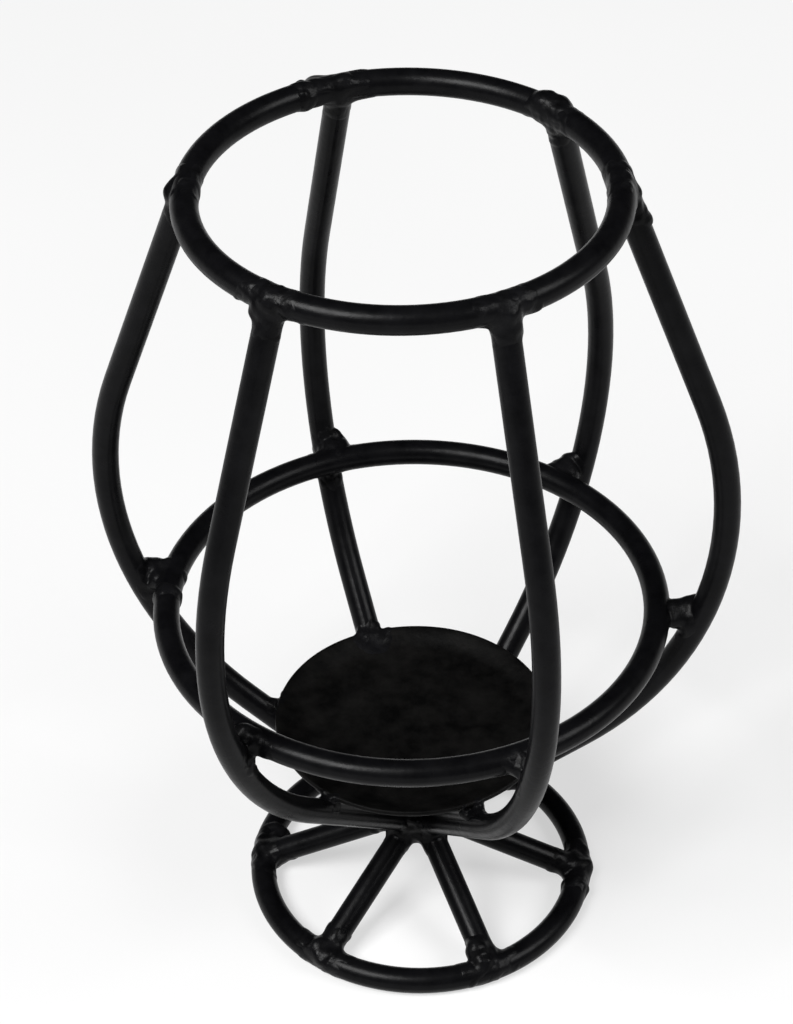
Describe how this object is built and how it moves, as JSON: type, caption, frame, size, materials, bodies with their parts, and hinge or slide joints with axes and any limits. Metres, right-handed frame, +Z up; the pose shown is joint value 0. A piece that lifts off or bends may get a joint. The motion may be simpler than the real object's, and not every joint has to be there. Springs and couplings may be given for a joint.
{
  "type": "candle holder",
  "caption": "Goblet-shaped wire candle holder: bent round bars welded to a foot ring, a belly ring and a mouth ring, with a shallow candle pan, in satin black paint.",
  "frame": {"origin": "middle of its outline seen from above, on the surface that it stands on, 1.4 mm behind the foot ring's centre", "axes": "+Z up through the waist and the mouth; -Y is the front, +X is to the right seen from the front"},
  "size_m": [0.12, 0.1121, 0.1661],
  "materials": {
    "bar_paint": "satin black paint over drawn round bar, with soft long highlights",
    "pan_paint": "satin black paint over sheet steel, a little mottled",
    "weld_paint": "satin black paint over lumpy weld metal"
  },
  "bodies": {
    "root": {"top_ring": "bar_paint", "middle_ring": "bar_paint", "foot_ring": "bar_paint", "rod_left": "bar_paint", "rod_front_left": "bar_paint", "rod_front_right": "bar_paint", "rod_right": "bar_paint", "rod_back_right": "bar_paint", "rod_back_left": "bar_paint", "candle_pan": "pan_paint", "top_ring_welds": "weld_paint", "middle_ring_welds": "weld_paint", "foot_ring_welds": "weld_paint", "pan_welds": "weld_paint", "waist_weld": "weld_paint", "ring_seam_welds": "weld_paint"}
  },
  "joints": []
}
